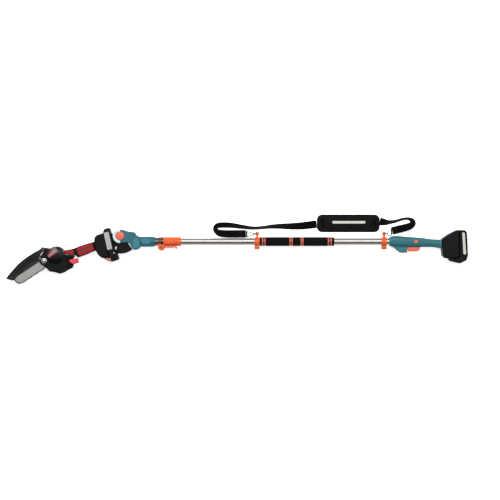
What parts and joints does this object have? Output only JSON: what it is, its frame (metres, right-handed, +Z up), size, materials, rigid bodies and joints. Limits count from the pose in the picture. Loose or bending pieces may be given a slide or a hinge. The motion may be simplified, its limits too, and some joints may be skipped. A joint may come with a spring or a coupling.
{
  "type": "telescoping pole saw",
  "caption": "Battery chainsaw on a swivelling head at the end of a telescoping aluminium pole with flip lock, foam grip, shoulder strap and rear trigger handle.",
  "frame": {"origin": "on the surface that the tool lies on, under the middle of the tool without its strap", "axes": "+X along the pole from the saw to the battery, +Y away from the triggers, +Z up from the surface that the tool lies on its side on"},
  "size_m": [1.7962, 0.2696, 0.075],
  "materials": {
    "bar_steel": "satin ground steel",
    "chain_steel": "oiled dark steel",
    "gear_steel": "machined steel",
    "bright_steel": "bright zinc plate",
    "black_plastic": "fine moulded texture",
    "red_plastic": "satin moulded plastic",
    "teal_plastic": "satin moulded plastic",
    "orange_plastic": "satin moulded plastic",
    "dial_plate": "printed dial plate",
    "tube_aluminium": "satin anodised",
    "bush_plastic": "natural nylon",
    "cable_rubber": "cable sheath",
    "foam": "closed-cell foam",
    "motor_case": "black paint",
    "contact_brass": "tinned brass",
    "cell_wrap": "heat-shrink wrap",
    "webbing": "woven polyester webbing",
    "pad_fabric": "woven nylon over foam"
  },
  "bodies": {
    "saw": {"guide_bar": "bar_steel", "saw_chain": "chain_steel", "bar_knob": "bright_steel", "sprocket_cover": "black_plastic", "saw_body_left": "black_plastic", "saw_body_right": "black_plastic", "saw_motor": "motor_case", "saw_handle_left": "red_plastic", "saw_handle_right": "red_plastic", "saw_switch": "black_plastic", "saw_foot": "black_plastic", "saw_terminals": "contact_brass", "guard_screw": "gear_steel"},
    "spindle": {"drive_sprocket": "gear_steel", "output_gear": "gear_steel"},
    "pinion": {"motor_pinion": "gear_steel"},
    "saw_trigger": {"saw_trigger": "red_plastic"},
    "saw_lock": {"saw_lock_button": "black_plastic"},
    "guard": {"chain_guard": "black_plastic"},
    "adapter": {"adapter_shell_left": "black_plastic", "adapter_shell_right": "black_plastic", "adapter_terminals": "contact_brass", "swivel_sector": "black_plastic"},
    "adapter_latch": {"adapter_latch": "orange_plastic"},
    "head": {"head_shell_left": "teal_plastic", "head_shell_right": "teal_plastic", "angle_dial": "dial_plate", "pivot_bolt": "gear_steel", "pivot_spring": "bright_steel", "head_collar": "bright_steel", "inner_tube": "tube_aluminium", "tube_bush": "bush_plastic", "front_cable": "cable_rubber", "head_screws": "gear_steel"},
    "pivot_button": {"pivot_button": "orange_plastic"},
    "root": {"lock_body": "orange_plastic", "lock_pin": "gear_steel", "lock_band": "black_plastic", "outer_tube": "tube_aluminium", "coiled_cable": "cable_rubber", "foam_grip": "foam", "grip_rings": "orange_plastic", "strap_collars": "orange_plastic", "front_hook": "bright_steel", "rear_ring": "bright_steel", "rear_handle_left": "teal_plastic", "rear_handle_right": "teal_plastic", "trigger_spring": "bright_steel", "rear_switch": "black_plastic", "shell_screws": "gear_steel", "battery_foot": "black_plastic", "strap_front": "webbing", "strap_rear": "webbing", "shoulder_pad": "pad_fabric"},
    "lock_lever": {"lock_lever": "orange_plastic"},
    "rear_trigger": {"rear_trigger": "orange_plastic"},
    "lockoff": {"lockoff_button": "orange_plastic"},
    "battery": {"battery_case": "black_plastic", "battery_cells": "cell_wrap"},
    "battery_latch": {"battery_latch": "black_plastic"}
  },
  "joints": [
    {"name": "telescope", "type": "slide", "parent": "root", "child": "head", "axis": [-1, 0, 0], "range_m": [0, 0.6], "deforming": ["coiled_cable"]},
    {"name": "lock_lever_open", "type": "hinge", "parent": "root", "child": "lock_lever", "pos_m": [-0.2939, 0.03473, 0.0375], "axis": [0, 0, -1], "range_deg": [0, 100]},
    {"name": "head_swivel", "type": "hinge", "parent": "head", "child": "adapter", "pos_m": [-0.4532, 0.07953, 0.0375], "axis": [0, 0, 1], "range_deg": [-12.7, 37.3]},
    {"name": "pivot_button_press", "type": "slide", "parent": "head", "child": "pivot_button", "axis": [0, 0, -1], "range_m": [0, 0.004], "stiffness_N_per_m": 800, "deforming": ["pivot_spring"]},
    {"name": "saw_slide_off", "type": "slide", "parent": "adapter", "child": "saw", "axis": [-0.2199, 0.9755, 0], "range_m": [0, 0.095]},
    {"name": "adapter_latch_press", "type": "slide", "parent": "adapter", "child": "adapter_latch", "axis": [0.3714, 0.9285, 0], "range_m": [0, 0.004], "stiffness_N_per_m": 800},
    {"name": "guard_swing", "type": "hinge", "parent": "saw", "child": "guard", "pos_m": [-0.75486, 0.02605, 0.0375], "axis": [0, 0, -1], "range_deg": [0, 60], "stiffness_Nm_per_rad": 0.4},
    {"name": "spindle_spin", "type": "hinge", "parent": "saw", "child": "spindle", "pos_m": [-0.70713, 0.00883, 0.0375], "axis": [0, 0, 1], "continuous": true},
    {"name": "pinion_spin", "type": "hinge", "parent": "saw", "child": "pinion", "pos_m": [-0.70108, -0.01799, 0.0375], "axis": [0, 0, 1], "continuous": true},
    {"name": "saw_trigger_pull", "type": "slide", "parent": "saw", "child": "saw_trigger", "axis": [-0.2199, 0.9755, 0], "range_m": [0, 0.005], "stiffness_N_per_m": 800},
    {"name": "saw_lock_press", "type": "slide", "parent": "saw", "child": "saw_lock", "axis": [0.2199, -0.9755, 0], "range_m": [0, 0.003], "stiffness_N_per_m": 500},
    {"name": "rear_trigger_pull", "type": "hinge", "parent": "root", "child": "rear_trigger", "pos_m": [0.7101, 0.03873, 0.0375], "axis": [0, 0, -1], "range_deg": [0, 6], "stiffness_Nm_per_rad": 3, "deforming": ["trigger_spring"]},
    {"name": "lockoff_press", "type": "slide", "parent": "root", "child": "lockoff", "axis": [0, 0, -1], "range_m": [0, 0.004], "stiffness_N_per_m": 500},
    {"name": "battery_slide_off", "type": "slide", "parent": "root", "child": "battery", "axis": [0, -1, 0], "range_m": [0, 0.095]},
    {"name": "battery_latch_press", "type": "slide", "parent": "battery", "child": "battery_latch", "axis": [0.5664, 0.8241, 0], "range_m": [0, 0.004], "stiffness_N_per_m": 800}
  ],
  "couplings": [
    {"joint": "pinion_spin", "follows": "spindle_spin", "ratio": -2.6667}
  ]
}
